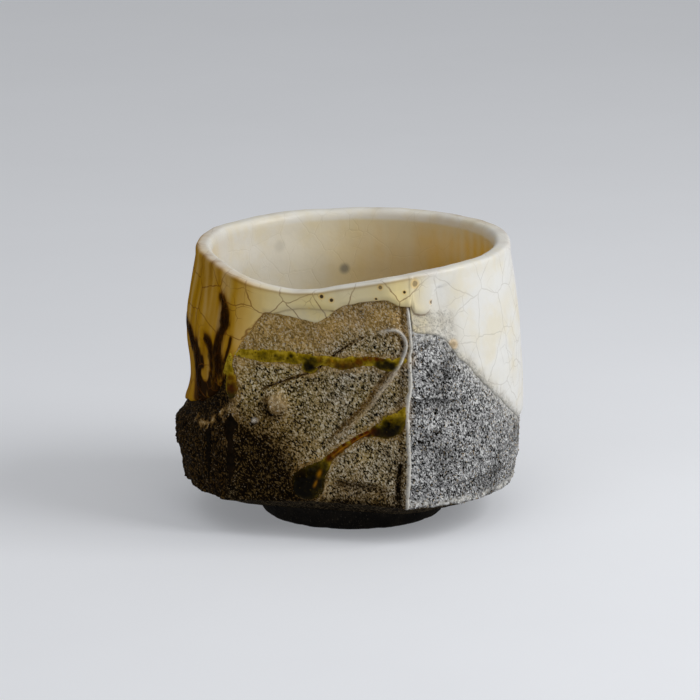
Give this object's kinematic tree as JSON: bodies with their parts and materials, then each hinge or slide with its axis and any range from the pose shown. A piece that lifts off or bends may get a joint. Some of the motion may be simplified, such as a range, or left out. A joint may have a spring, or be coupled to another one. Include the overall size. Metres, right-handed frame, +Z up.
{
  "type": "sake cup",
  "caption": "Small hand-built ceramic drinking cup with a flat cut front, an upright seam, a foot ring, white crackle glaze inside and amber glaze runs.",
  "frame": {"origin": "under the middle of the cup's overall box, on the plane that the foot ring stands on", "axes": "+Z up out of the mouth, -Y towards the flat cut front, +X to the right as the front is seen"},
  "size_m": [0.0662, 0.0636, 0.0532],
  "materials": {
    "bare_clay": "matte",
    "smoked_clay": "matte",
    "white_glaze": "gloss",
    "amber_glaze": "gloss",
    "brown_glaze": "gloss",
    "dark_glaze": "gloss"
  },
  "bodies": {
    "root": {"wall_slab": "bare_clay", "floor_disc": "smoked_clay", "foot_ring": "smoked_clay", "white_glaze": "white_glaze", "upper_amber_run": "amber_glaze", "corner_amber_run": "amber_glaze", "lower_amber_run": "amber_glaze", "front_brown_run": "brown_glaze", "middle_brown_run": "brown_glaze", "rear_brown_run": "brown_glaze", "near_dark_drip": "dark_glaze", "far_dark_drip": "dark_glaze"}
  },
  "joints": []
}
